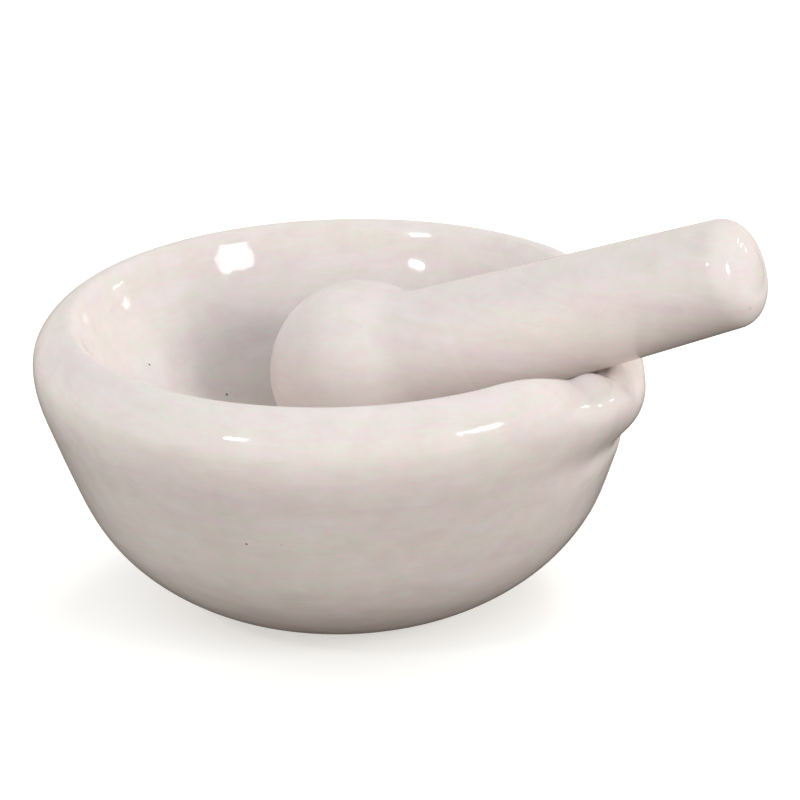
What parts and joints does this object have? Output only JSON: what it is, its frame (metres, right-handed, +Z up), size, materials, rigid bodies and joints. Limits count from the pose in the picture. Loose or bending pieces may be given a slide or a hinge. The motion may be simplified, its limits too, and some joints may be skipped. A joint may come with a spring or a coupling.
{
  "type": "mortar and pestle",
  "caption": "Small glazed porcelain laboratory mortar with a rounded rim and pouring spout, and a ball-headed pestle leaning in the bowl.",
  "frame": {"origin": "centre of the mortar's flat foot, on the surface it stands on", "axes": "+Z up along the bowl's axis; +X towards the pouring spout"},
  "size_m": [0.0716, 0.06, 0.0403],
  "materials": {
    "mortar_porcelain": "gloss",
    "pestle_porcelain": "gloss"
  },
  "bodies": {
    "mortar": {"mortar": "mortar_porcelain"},
    "pestle": {"pestle": "pestle_porcelain"}
  },
  "joints": [
    {"name": "pestle_lift", "type": "slide", "parent": "mortar", "child": "pestle", "axis": [0, 0, 1], "range_m": [0, 0.04]}
  ]
}
